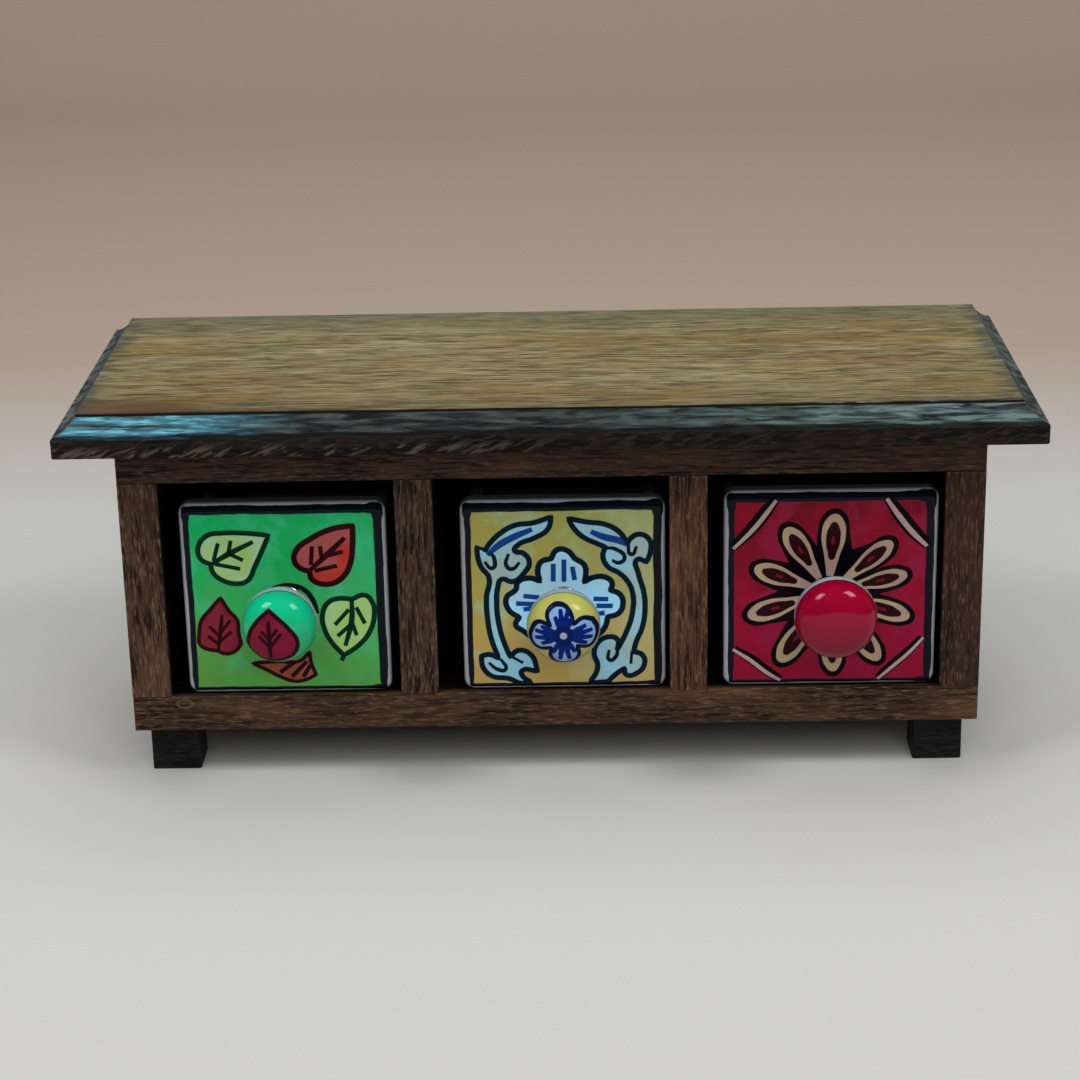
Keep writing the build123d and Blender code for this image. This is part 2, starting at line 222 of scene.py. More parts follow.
def off_centre_of(group, given):
    """How far the place lies from the centre, as a vector and without its signs."""
    offset = shader_node(group, "VectorMath", (0, given["Place"]), (1, given["Centre"]), operation="SUBTRACT")
    size = shader_node(group, "VectorMath", (0, offset.outputs[0]), operation="ABSOLUTE")
    return offset.outputs[0], size.outputs[0]


BOX_INPUTS = {"Place": "NodeSocketVector", "Centre": "NodeSocketVector", "Half": "NodeSocketVector"}

# Grain runs along X. Scales are (along, across, up), and each gap is where a mask starts and ends.
SWAY_SCALE, SWAY_ASIDE, SWAY_UP = (0.012, 0.04, 0.04), 10 * MM, 6 * MM
FIBRE_SCALE, STREAK_SCALE, STREAK_GAP = (0.07, 1.15, 1.15), (0.045, 0.7, 0.7), (0.54, 0.66)
PATCH_SCALE, SCRATCH_SCALE, SCRATCH_GAP = (0.014, 0.04, 0.04), (0.28, 1.7, 1.7), (0.50, 0.70)
grain, given, result = new_group(
    "wood_grain", {"Place": "NodeSocketVector"}, ("Fibre", "Streak", "Patch", "Scratch")
)
sway = noise(grain, given["Place"], SWAY_SCALE, detail=2.0)
sway = shader_node(
    grain, "CombineXYZ", ("Y", both(grain, sway, SWAY_ASIDE)), ("Z", both(grain, sway, SWAY_UP))
).outputs[0]
lines = shifted_by(grain, given["Place"], sway)
streaks = noise(grain, lines, STREAK_SCALE, detail=5.0, distortion=0.4)
scratches = noise(grain, given["Place"], SCRATCH_SCALE, detail=4.0)
grain.links.new(noise(grain, lines, FIBRE_SCALE, detail=5.0, distortion=0.2), result["Fibre"])
grain.links.new(between(grain, streaks, *STREAK_GAP), result["Streak"])
grain.links.new(noise(grain, given["Place"], PATCH_SCALE, distortion=0.5), result["Patch"])
grain.links.new(between(grain, scratches, *SCRATCH_GAP), result["Scratch"])

RAGGED_SCALE, RUBBED, UNTOUCHED = (0.22, 0.22, 0.22), 0.35, 1.3
wear, given, result = new_group("edge_wear", BOX_INPUTS | {"Width": "NodeSocketFloat"}, ("Wear",))
inset = shader_node(
    wear, "VectorMath", (0, given["Half"]), (1, off_centre_of(wear, given)[1]), operation="SUBTRACT"
)
inset_x, inset_y, inset_z = shader_node(wear, "SeparateXYZ", ("Vector", inset.outputs[0])).outputs[:3]
lower, upper = maths(wear, "MINIMUM", inset_x, inset_y), maths(wear, "MAXIMUM", inset_x, inset_y)
edge_distance = maths(wear, "MAXIMUM", lower, maths(wear, "MINIMUM", upper, inset_z))
ragged = both(wear, noise(wear, given["Place"], RAGGED_SCALE, detail=4.0), given["Width"])
untouched = between(wear, maths(wear, "DIVIDE", edge_distance, ragged), RUBBED, UNTOUCHED)
wear.links.new(maths(wear, "SUBTRACT", 1.0, untouched), result["Wear"])


def grain_of(tree, place, along, offset):
    """Outputs of the grain group, with the grain along X or Z and its own piece of the noise."""
    if along == "Z":
        x, y, z = shader_node(tree, "SeparateXYZ", ("Vector", place)).outputs[:3]
        place = shader_node(tree, "CombineXYZ", ("X", z), ("Y", y), ("Z", x)).outputs[0]
    return shader_node(
        tree, "Group", ("Place", shifted_by(tree, place, (offset, offset, offset))), node_tree=grain
    ).outputs


def wear_of(tree, place, node, width):
    low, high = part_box(node)
    return shader_node(
        tree, "Group", ("Place", place), ("Centre", (low + high) / 2), ("Half", (high - low) / 2),
        ("Width", width), node_tree=wear,
    ).outputs["Wear"]


BUMP_STRENGTH, BUMP_DEPTH, WAXED_MIRROR = 0.5, 0.35 * MM, 0.1


def dress(node, material):
    """Gives a CAD node its one material."""
    nodes[node].data.materials.clear()
    nodes[node].data.materials.append(material)


def wood_surface(tree, bsdf, colour, height, roughness):
    """Colour, bump and sheen of rubbed wood."""
    tree.links.new(colour, bsdf.inputs["Base Color"])
    bump = shader_node(
        tree, "Bump", ("Height", height), ("Strength", BUMP_STRENGTH), ("Distance", BUMP_DEPTH)
    )
    tree.links.new(bump.outputs[0], bsdf.inputs["Normal"])
    bsdf.inputs["Roughness"].default_value = roughness
    bsdf.inputs["Specular IOR Level"].default_value = WAXED_MIRROR


case_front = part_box("upper_plank")[0].y
case_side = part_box("right_side")[1].x
CASE_FIBRE_GAP, CASE_PATCH_GAP, EDGE_WIDTH = (0.36, 0.56), (0.45, 0.68), 1.2 * MM
PATCH_SHARE, STREAK_SHARE, EDGE_SHARE, SCRATCH_SHARE = 0.75, 0.55, 0.5, 0.5
BAY_SHARE, BAY_START, BAY_FULL, OUTSIDE_END, INSIDE_START = 0.96, 0.4 * MM, 4 * MM, 0.2 * MM, 0.6 * MM
# The bay colour is the real stain and painted shade together: near black deep inside.
BAY_STAIN_AND_SHADE, CASE_ROUGHNESS = srgb(6, 5, 5), 0.55


def case_wood(node, along, offset, dark, middle, light, edge):
    """Stained wood of one plank, with rubbed edges outside, and the full stain inside the bays darkened to
    near black as painted shade.
    """
    material, tree, bsdf = new_material(node + "_wood")
    place, x, y, z = place_of(tree)
    fibre, streak, patch, scratch = grain_of(tree, place, along, offset)
    colour = mixed(tree, between(tree, fibre, *CASE_FIBRE_GAP), dark, middle)
    colour = mixed(tree, both(tree, between(tree, patch, *CASE_PATCH_GAP), PATCH_SHARE), colour, light)
    colour = mixed(tree, both(tree, streak, STREAK_SHARE), colour, dark)
    worn = both(tree, wear_of(tree, place, node, EDGE_WIDTH), both(tree, scratch, EDGE_SHARE))
    colour = mixed(tree, maths(tree, "ADD", worn, both(tree, scratch, SCRATCH_SHARE)), colour, edge)
    if not node.endswith("_foot"):
        own_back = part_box(node)[1].y
        # Painted shade: deep inside the bays the wood's stain is darkened to near black.
        bay_stain_and_shade_mask = both(
            tree, between(tree, y, case_front + BAY_START, case_front + BAY_FULL),
            between(tree, maths(tree, "ABSOLUTE", x), case_side - OUTSIDE_END, case_side - INSIDE_START),
        )
        bay_stain_and_shade_mask = both(tree, bay_stain_and_shade_mask, between(tree, y, own_back - OUTSIDE_END, own_back - INSIDE_START))
        colour = mixed(tree, both(tree, bay_stain_and_shade_mask, BAY_SHARE), colour, BAY_STAIN_AND_SHADE)
    wood_surface(tree, bsdf, colour, fibre, CASE_ROUGHNESS)
    dress(node, material)


# Grain, place in the noise, then the stain from its darkest fibre to its rubbed edges.
FOOT_STAINS = (14, 13, 13), (26, 26, 27), (34, 33, 34), (52, 49, 46)
CASE_STAINS = {
    "upper_plank": ("X", 0.0, (24, 15, 12), (66, 47, 38), (92, 64, 50), (108, 82, 64)),
    "bottom_plank": ("X", 0.31, (20, 14, 11), (62, 46, 35), (90, 66, 48), (122, 96, 68)),
    "left_side": ("Z", 0.62, (22, 15, 11), (70, 50, 38), (98, 73, 55), (126, 102, 80)),
    "left_partition": ("Z", 0.93, (22, 15, 12), (66, 49, 39), (94, 71, 56), (122, 98, 76)),
    "right_partition": ("Z", 1.24, (26, 16, 12), (78, 54, 41), (104, 74, 56), (128, 98, 76)),
    "right_side": ("Z", 1.55, (14, 8, 7), (42, 27, 23), (60, 41, 34), (112, 84, 66)),
    "back_panel": ("X", 1.86, (18, 13, 10), (52, 38, 29), (72, 53, 41), (96, 74, 56)),
    "front_left_foot": ("X", 2.17, *FOOT_STAINS),
    "front_right_foot": ("X", 2.17, *FOOT_STAINS),
    "back_left_foot": ("X", 2.17, *FOOT_STAINS),
    "back_right_foot": ("X", 2.17, *FOOT_STAINS),
    "shim_leaf": ("X", 2.48, (24, 18, 14), (52, 40, 31), (72, 55, 43), (104, 84, 66)),
}
for node, (along, offset, *stains) in CASE_STAINS.items():
    case_wood(node, along, offset, *(srgb(*stain) for stain in stains))

# A faint oval mark, such as a filled hole leaves, at the left of the bottom rail.
OVAL_X, OVAL_Z, OVAL_HALF_WIDTH, OVAL_HALF_HEIGHT = -119.3 * MM, 26.0 * MM, 2.5 * MM, 1.3 * MM
OVAL_SHARE, OVAL_BLUR, OVAL_LINE = 0.4, 0.3, 0.05
OVAL_FRONT, OVAL_FRONT_FULL = 0.3 * MM, 0.1 * MM
material = bpy.data.materials["bottom_plank_wood"]
tree, bsdf = material.node_tree, material.node_tree.nodes["Principled BSDF"]
place, x, y, z = place_of(tree)
across = maths(tree, "DIVIDE", maths(tree, "SUBTRACT", x, OVAL_X), OVAL_HALF_WIDTH)
upward = maths(tree, "DIVIDE", maths(tree, "SUBTRACT", z, OVAL_Z), OVAL_HALF_HEIGHT)
oval = maths(tree, "SQRT", maths(tree, "ADD", both(tree, across, across), both(tree, upward, upward)))
off_line = maths(tree, "ABSOLUTE", maths(tree, "SUBTRACT", oval, 1.0))
ring = both(tree, between(tree, off_line, OVAL_BLUR, OVAL_LINE), OVAL_SHARE)
ring = both(tree, ring, between(tree, y, case_front + OVAL_FRONT, case_front + OVAL_FRONT_FULL))
wood_colour = bsdf.inputs["Base Color"].links[0].from_socket
tree.links.new(mixed(tree, ring, wood_colour, srgb(126, 104, 76)), bsdf.inputs["Base Color"])

# ---- top board -----------------------------------------------------------------------
# One thick board of the same hardwood, moulded on all four sides and screwed on from
# below. Its top is pale and weathered, and its fascia has the leaning strokes of a coarse
# tool. Its moulding is dark and mottled, with a painted blue-green reflection strongest
# at the front left, a paler painted highlight at the front right and painted shade
# along its nose.
board_low, board_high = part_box("top_board")
material, tree, bsdf = new_material("top_board_wood")
place, x, y, z = place_of(tree)
BOARD_NOISE_PLACE, BOARD_ROUGHNESS = 2.8, 0.5
fibre, streak, patch, scratch = grain_of(tree, place, "X", BOARD_NOISE_PLACE)
side_inset = maths(tree, "SUBTRACT", board_high.x, maths(tree, "ABSOLUTE", x))
front_inset = maths(tree, "SUBTRACT", y, board_low.y)
back_inset = maths(tree, "SUBTRACT", board_high.y, y)
height = maths(tree, "SUBTRACT", z, board_low.z)


def stain(under, mask, strength, colour):
    return mixed(tree, both(tree, mask, strength), under, colour)


def bands(along, across, offset, low, high):
    """Mask of long irregular bands that follow the grain, each with its own offset in the noise."""
    moved = shifted_by(tree, place, (offset, offset, 0))
    return between(tree, noise(tree, moved, (along, across, across), detail=5.0, distortion=0.5), low, high)


def band_stains(under, layers):
    for mask, strength, colour in layers.values():
        under = stain(under, bands(*mask), strength, srgb(*colour))
    return under


def bent(inset, mask, depth):
    """An inset whose lines wander by up to the depth, so that a stain's edge isn't straight."""
    return maths(tree, "ADD", inset, both(tree, bands(*mask), depth))


BOARD_FIBRE_GAP, FIBRE_DARK, FIBRE_PALE = (0.36, 0.6), srgb(76, 68, 46), srgb(145, 136, 98)
# Each layer has bands of (scale along, scale across, offset, low, high), a strength and a colour.
BROAD_BANDS = {
    "ochre": ((0.012, 0.07, 3.1, 0.50, 0.62), 0.5, (132, 108, 50)),
    "brown": ((0.016, 0.11, 4.3, 0.55, 0.66), 0.45, (104, 74, 50)),
    "chalky": ((0.014, 0.09, 5.7, 0.54, 0.68), 0.45, (158, 154, 122)),
    "moss": ((0.02, 0.13, 6.2, 0.56, 0.7), 0.5, (82, 90, 68)),
}
FINE_BANDS = {
    "dark_lines": ((0.10, 1.5, 7.4, 0.54, 0.66), 0.75, (46, 36, 26)),
    "bare_lines": ((0.14, 1.7, 8.8, 0.58, 0.7), 0.4, (172, 164, 130)),
    "dents": ((0.07, 0.22, 9.5, 0.7, 0.78), 0.8, (52, 36, 24)),
}
top = mixed(tree, between(tree, fibre, *BOARD_FIBRE_GAP), FIBRE_DARK, FIBRE_PALE)
top = band_stains(top, BROAD_BANDS)
weathered_back = between(tree, back_inset, 40 * MM, 8 * MM)
top = stain(top, weathered_back, 0.6, srgb(90, 100, 84))
worn_front = between(tree, y, -15 * MM, -55 * MM)
top = stain(top, worn_front, 0.35, srgb(76, 66, 46))
top = stain(top, streak, 0.5, srgb(60, 49, 32))
top = band_stains(top, FINE_BANDS)
to_left = both(tree, between(tree, x, -50 * MM, -150 * MM), 0.6)
to_front = both(tree, between(tree, y, -10 * MM, -55 * MM), 0.6)
front_left = maths(tree, "ADD", to_left, to_front)
front_left = maths(tree, "ADD", front_left, both(tree, maths(tree, "SUBTRACT", patch, 0.5), 1.2))
rusty_corner = between(tree, front_left, 0.6, 1.1)
top = stain(top, rusty_corner, 0.75, srgb(78, 50, 39))
ends = bent(side_inset, (0.08, 0.3, 1.9, 0.3, 0.7), 10 * MM)
grey_ends = between(tree, ends, 18 * MM, 11 * MM)
top = stain(top, grey_ends, 0.75, srgb(58, 70, 66))
ridge = bent(front_inset, (0.03, 0.5, 2.6, 0.3, 0.7), 3.5 * MM)
dark_ridge = between(tree, ridge, 10.8 * MM, 8.8 * MM)
top = stain(top, dark_ridge, 0.85, srgb(34, 33, 28))
bare_ridge = both(tree, between(tree, ridge, 9.2 * MM, 7.8 * MM), bands(0.09, 0.9, 3.9, 0.5, 0.6))
bare_ridge = both(tree, bare_ridge, between(tree, x, -20 * MM, 50 * MM))
top = stain(top, bare_ridge, 0.8, srgb(168, 166, 156))

NOSE_WIDTH, NOSE_BLUR, MITRE_BLUR = 2.0 * MM, 1.5 * MM, 0.2 * MM
grey_film, short_dashes = bands(0.07, 0.55, 0.6, 0.40, 0.62), bands(0.22, 1.0, 1.3, 0.42, 0.64)
moulding = mixed(tree, grey_film, srgb(18, 22, 22), srgb(62, 72, 70))
moulding = stain(moulding, short_dashes, 0.5, srgb(38, 46, 46))
in_front = between(tree, y, 0.0, -40 * MM)
# Painted reflection: a blue-green sheen at the front left of the moulding, with a brighter painted glint
# inside it.
painted_left_reflection = both(tree, between(tree, x, -75 * MM, -125 * MM), bands(0.05, 0.4, 2.2, 0.30, 0.52))
painted_left_reflection = both(tree, painted_left_reflection, in_front)
moulding = stain(moulding, painted_left_reflection, 0.9, srgb(58, 112, 134))
painted_left_glint = both(tree, painted_left_reflection, bands(0.12, 0.9, 4.9, 0.42, 0.62))
moulding = stain(moulding, painted_left_glint, 0.8, srgb(108, 184, 198))
# Painted highlight: a pale blue-grey sheen at the front right of the moulding.
painted_right_highlight = both(tree, between(tree, x, -10 * MM, 120 * MM), in_front)
painted_right_highlight = both(tree, painted_right_highlight, bands(0.08, 0.7, 5.2, 0.42, 0.62))
moulding = stain(moulding, painted_right_highlight, 0.8, srgb(100, 126, 126))
moulding = stain(moulding, streak, 0.55, srgb(18, 24, 26))
# Painted shade: a near-black band along the nose of the moulding.
nose_inset = bent(front_inset, (0.06, 0.4, 6.6, 0.3, 0.7), 1.2 * MM)
painted_nose_shade = between(tree, nose_inset, NOSE_WIDTH + NOSE_BLUR, NOSE_WIDTH)
moulding = stain(moulding, painted_nose_shade, 0.9, srgb(12, 12, 12))
mottled = bands(0.30, 0.30, 7.9, 0.4, 0.65)
end_film = mixed(tree, mottled, srgb(30, 38, 40), srgb(84, 98, 98))
nearest = maths(tree, "MINIMUM", front_inset, back_inset)
past_mitre = maths(tree, "SUBTRACT", nearest, side_inset)
at_end = between(tree, past_mitre, -MITRE_BLUR, MITRE_BLUR)
moulding = mixed(tree, at_end, moulding, end_film)

STROKE_LEAN, STROKE_SCALE, STROKE_GAP = radians(24), (0.12, 0.3, 0.75), (0.50, 0.64)
leaning = shader_node(tree, "Mapping", ("Vector", place), ("Rotation", (0, STROKE_LEAN, 0))).outputs[0]
strokes = between(tree, noise(tree, leaning, STROKE_SCALE, detail=4.0, distortion=0.4), *STROKE_GAP)
low_strokes = both(tree, strokes, between(tree, height, 4.4 * MM, 2.0 * MM))
low_strokes = both(tree, low_strokes, between(tree, x, 20 * MM, -50 * MM))
brown_bands = bands(0.02, 0.3, 8.1, 0.5, 0.6)
fascia = mixed(tree, strokes, srgb(12, 10, 8), srgb(36, 30, 24))
fascia = stain(fascia, brown_bands, 0.5, srgb(38, 28, 23))
fascia = stain(fascia, low_strokes, 0.6, srgb(92, 81, 70))
fascia = stain(fascia, scratch, 0.3, srgb(62, 58, 50))

MOULDING_FOOT, FOOT_BLUR, MOULDING_HEAD, HEAD_BLUR = 6.0 * MM, 0.5 * MM, 11.2 * MM, 0.1 * MM
FLAT_TOP = board_high.z - board_low.z - 0.12 * MM
colour = mixed(tree, between(tree, height, MOULDING_FOOT - FOOT_BLUR, MOULDING_FOOT), fascia, moulding)
on_step = between(tree, height, MOULDING_HEAD - HEAD_BLUR, MOULDING_HEAD + HEAD_BLUR)
colour = mixed(tree, on_step, colour, srgb(20, 20, 18))
colour = mixed(tree, between(tree, height, FLAT_TOP - HEAD_BLUR, FLAT_TOP), colour, top)
wood_surface(tree, bsdf, colour, fibre, BOARD_ROUGHNESS)
dress("top_board", material)

# ---- metal: collars, studs, nuts, washers, nails, screws, pins -----------------------
# A bright turned collar behind each knob, zinc-plated stud, washer and nut inside the
# drawer, and plain darkened steel nails, screws and pins in the wood.
def plain_metal(slot, colour, roughness, pieces):
    material, tree, bsdf = new_material(slot)
    bsdf.inputs["Base Color"].default_value = colour
    bsdf.inputs["Metallic"].default_value = 1.0
    bsdf.inputs["Roughness"].default_value = roughness
    for piece in pieces:
        dress(piece, material)


SIDES = ("left", "middle", "right")
plain_metal(
    "bright_collar", srgb(214, 216, 218), roughness=0.18, pieces=[side + "_knob_collar" for side in SIDES]
)
plain_metal(
    "zinc_steel", srgb(176, 178, 182), roughness=0.35,
    pieces=[f"{side}_knob_{part}" for side in SIDES for part in ("stud", "washer", "nut")],
)
plain_metal(
    "dark_steel", srgb(78, 74, 72), roughness=0.5,
    pieces=["lower_nails", "upper_nails", "top_board_screws", "foot_screws", "back_panel_pins"],
)

# ---- drawers -------------------------------------------------------------------------
# Slip-cast earthenware under a glossy clear glaze, one casting of front and tray. Each
# front has a mottled field inside a dark line drawn by hand, with a pale rounded rim
# outside it. The back of the rim is darkened as painted shade, and the tray is in a grey
# glaze, toned down as painted shade for the dark bays.
CLOUD_SCALE, CLOUD_GAP, BLUSH_SCALE, BLUSH_GAP = (0.06,) * 3, (0.38, 0.64), (0.085,) * 3, (0.44, 0.66)
SPECKLE_SCALE, BLUSH_SHIFT = (0.5,) * 3, (0.7, 0.3, 0.5)
mottle, given, result = new_group(
    "glaze_mottle", {"Place": "NodeSocketVector"}, ("Cloud", "Blush", "Speckle")
)
clouds = noise(mottle, given["Place"], CLOUD_SCALE, detail=2.0, distortion=0.8)
moved = shifted_by(mottle, given["Place"], BLUSH_SHIFT)
blushes = noise(mottle, moved, BLUSH_SCALE, detail=3.0, distortion=0.5)
mottle.links.new(between(mottle, clouds, *CLOUD_GAP), result["Cloud"])
mottle.links.new(between(mottle, blushes, *BLUSH_GAP), result["Blush"])
mottle.links.new(noise(mottle, moved, SPECKLE_SCALE, detail=4.0), result["Speckle"])

# The line is heavier up the sides than at the foot, and heaviest at the right and the top.
WAVER_SCALE, WAVER, LINE_BLUR = (0.09,) * 3, 1.1 * MM, 0.12 * MM
FOOT_WEIGHT, SIDE_EXTRA, RIGHT_EXTRA, TOP_EXTRA = 0.65 * MM, 0.3 * MM, 0.4 * MM, 0.45 * MM
SIDE_FROM, RIGHT_FROM, TOP_FROM = (-30 * MM, -26 * MM), (26 * MM, 29 * MM), (26.5 * MM, 28.5 * MM)
rim, given, result = new_group("drawn_line", BOX_INPUTS, ("Inset", "Line"))
wavering = both(rim, maths(rim, "SUBTRACT", noise(rim, given["Place"], WAVER_SCALE), 0.5), WAVER)
off_centre, size = off_centre_of(rim, given)
past = shader_node(rim, "VectorMath", (0, size), (1, given["Half"]), operation="SUBTRACT").outputs[0]
past_x, past_y, past_z = shader_node(rim, "SeparateXYZ", ("Vector", past)).outputs[:3]
outside_x, outside_z = maths(rim, "MAXIMUM", past_x, 0.0), maths(rim, "MAXIMUM", past_z, 0.0)
squares = maths(rim, "ADD", both(rim, outside_x, outside_x), both(rim, outside_z, outside_z))
inside = maths(rim, "MINIMUM", maths(rim, "MAXIMUM", past_x, past_z), 0.0)
distance = maths(rim, "ADD", maths(rim, "ADD", maths(rim, "SQRT", squares), inside), wavering)
off_x, off_y, off_z = shader_node(rim, "SeparateXYZ", ("Vector", off_centre)).outputs[:3]
weight = maths(rim, "ADD", both(rim, between(rim, off_z, *SIDE_FROM), SIDE_EXTRA), FOOT_WEIGHT)
weight = maths(rim, "ADD", weight, both(rim, between(rim, off_x, *RIGHT_FROM), RIGHT_EXTRA))
weight = maths(rim, "ADD", weight, both(rim, between(rim, off_z, *TOP_FROM), TOP_EXTRA))
ink = maths(rim, "SUBTRACT", maths(rim, "ABSOLUTE", distance), weight)
rim.links.new(maths(rim, "SUBTRACT", 0.0, distance), result["Inset"])
rim.links.new(between(rim, ink, LINE_BLUR, -LINE_BLUR), result["Line"])

GLAZE_ROUGHNESS, DRAWER_MIRROR, KNOB_MIRROR, PAINT_MIRROR = 0.09, 0.13, 0.28, 0.05


def glossy(bsdf, mirror):
    """Fired glaze: smooth, with its share of mirror reflection."""
    bsdf.inputs["Roughness"].default_value = GLAZE_ROUGHNESS
    bsdf.inputs["Specular IOR Level"].default_value = mirror


FRAME_LEFT, FRAME_RIGHT, FRAME_TOP, FRAME_FOOT = 2.4 * MM, 2.6 * MM, 2.1 * MM, 1.8 * MM
FIELD_BLUR, RIM_FADE_START, RIM_FADE_END = 0.2 * MM, 0.9 * MM, 2.6 * MM
FRONT_DEPTH, TRAY_BLUR = 7.0 * MM, 0.5 * MM
CLOUD_SHARE, BLUSH_SHARE, SPECKLE_SHARE, FOOT_SHARE, SPECKLE_GAP = 0.65, 0.75, 0.3, 0.6, (0.5, 0.75)
# The dark back of the rim and the grey of the tray are painted shade over the pale glaze.
RIM_GLAZE, RIM_BACK_SHADE, TRAY_GLAZE_WITH_SHADE = srgb(158, 162, 170), srgb(66, 66, 68), srgb(124, 125, 125)
LINE_INK = srgb(0, 8, 20)


def drawer_glaze(side, foot, head, cloudy, blushed, right_blush=0.0):
    """Glaze of one drawer: the field runs from its foot colour to its head colour."""
    node = side + "_drawer"
    material, tree, bsdf = new_material(node + "_glaze")
    place, x, y, z = place_of(tree)
    low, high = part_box(node)
    centre = (low + high) / 2 + Vector((FRAME_LEFT - FRAME_RIGHT, 0, FRAME_FOOT - FRAME_TOP)) / 2
    half = (high - low) / 2 - Vector((FRAME_LEFT + FRAME_RIGHT, 0, FRAME_TOP + FRAME_FOOT)) / 2
    frame_line = shader_node(
        tree, "Group", ("Place", place), ("Centre", centre), ("Half", half), node_tree=rim
    ).outputs
    cloud, blush, speckle = shader_node(tree, "Group", ("Place", place), node_tree=mottle).outputs[:3]
    blush = maths(tree, "MAXIMUM", blush, both(tree, between(tree, x, centre.x, high.x), right_blush))
    field = mixed(tree, between(tree, z, low.z, high.z), foot, head)
    field = mixed(tree, both(tree, cloud, CLOUD_SHARE), field, cloudy)
    field = mixed(tree, both(tree, blush, BLUSH_SHARE), field, blushed)
    field = mixed(tree, both(tree, between(tree, speckle, *SPECKLE_GAP), SPECKLE_SHARE), field, foot)
    field = mixed(tree, both(tree, between(tree, z, centre.z, low.z), FOOT_SHARE), field, foot)
    colour = mixed(tree, between(tree, frame_line["Inset"], -FIELD_BLUR, FIELD_BLUR), RIM_GLAZE, field)
    colour = mixed(tree, frame_line["Line"], colour, LINE_INK)
    # Painted shade: the rim darkens towards its back, where it turns into the bay.
    painted_rim_shade = between(tree, y, low.y + RIM_FADE_START, low.y + RIM_FADE_END)
    colour = mixed(tree, painted_rim_shade, colour, RIM_BACK_SHADE)
    # Painted shade: the tray's glaze is toned down to grey, so that it stays dark inside the bays.
    on_tray = between(tree, y, low.y + FRONT_DEPTH - TRAY_BLUR, low.y + FRONT_DEPTH)
    colour = mixed(tree, on_tray, colour, TRAY_GLAZE_WITH_SHADE)
    tree.links.new(colour, bsdf.inputs["Base Color"])
    glossy(bsdf, DRAWER_MIRROR)
    dress(node, material)


drawer_glaze(
    "left", foot=srgb(84, 144, 60), head=srgb(0, 176, 110),
    cloudy=srgb(0, 170, 80), blushed=srgb(56, 184, 128), right_blush=0.35,
)
drawer_glaze(
    "middle", foot=srgb(174, 146, 80), head=srgb(150, 156, 78),
    cloudy=srgb(160, 148, 70), blushed=srgb(158, 178, 140), right_blush=0.7,
)
drawer_glaze(
    "right", foot=srgb(132, 0, 42), head=srgb(112, 0, 28),
    cloudy=srgb(146, 0, 34), blushed=srgb(138, 20, 62),
)

# ---- knobs ---------------------------------------------------------------------------
# Earthenware like the drawers, each screwed to its front by a stud. The coloured glaze ends
# at a thin drawn line just before the widest ring, and the neck behind it is left in a
# pale bluish glaze.
KNOB_DOME_HEIGHT, BARE_BEFORE_WIDEST = 9.0 * MM, 1.4 * MM
BRIM_WAVER, BRIM_HALF_WIDTH, BRIM_BLUR = 0.6 * MM, 0.3 * MM, 0.05 * MM
KNOB_BLUSH_SHARE, NECK_GLAZE = 0.3, srgb(150, 172, 178)


def knob_glaze(side, foot, head, line):
    node = side + "_knob"
    material, tree, bsdf = new_material(node + "_glaze")
    place, x, y, z = place_of(tree)
    low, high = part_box(node)
    cloud, blush, speckle = shader_node(tree, "Group", ("Place", place), node_tree=mottle).outputs[:3]
    colour = mixed(tree, between(tree, z, low.z, high.z), foot, head)
    colour = mixed(tree, both(tree, blush, KNOB_BLUSH_SHARE), colour, foot)
    edge = maths(tree, "ADD", y, both(tree, maths(tree, "SUBTRACT", speckle, 0.5), BRIM_WAVER))
    brim = low.y + KNOB_DOME_HEIGHT - BARE_BEFORE_WIDEST
    for middle, beyond in ((brim - BRIM_HALF_WIDTH, line), (brim + BRIM_HALF_WIDTH, NECK_GLAZE)):
        colour = mixed(tree, between(tree, edge, middle - BRIM_BLUR, middle + BRIM_BLUR), colour, beyond)
    tree.links.new(colour, bsdf.inputs["Base Color"])
    glossy(bsdf, KNOB_MIRROR)
    dress(node, material)


knob_glaze("left", foot=srgb(40, 156, 92), head=srgb(0, 188, 138), line=srgb(0, 60, 66))
knob_glaze("middle", foot=srgb(164, 154, 88), head=srgb(180, 182, 92), line=srgb(60, 116, 100))
knob_glaze("right", foot=srgb(116, 0, 36), head=srgb(148, 0, 42), line=srgb(42, 2, 28))

# ---- leaves on the left drawer and its knob ------------------------------------------
# Common folk ornament, laid on the raw glaze with a loaded brush and fired with it, so each
# stroke stands a little proud. Every colour of a drawer or knob is one piece. The dark arc
# round the left knob is not ornament but a painted shadow, drawn as a stroke.
WASH, LINE, SEAT = 0.05, 0.12, 0.02
LONGEST_EDGE, SAME_POINT, CREASE = 1.1, 0.001, radians(40)
BRUSH_RADIUS, BRUSH_SIDES, CURVE_STEPS, TIP_SHARE = 0.5, 2, 8, 0.7
BEFORE_THE_FACE = -200 * MM


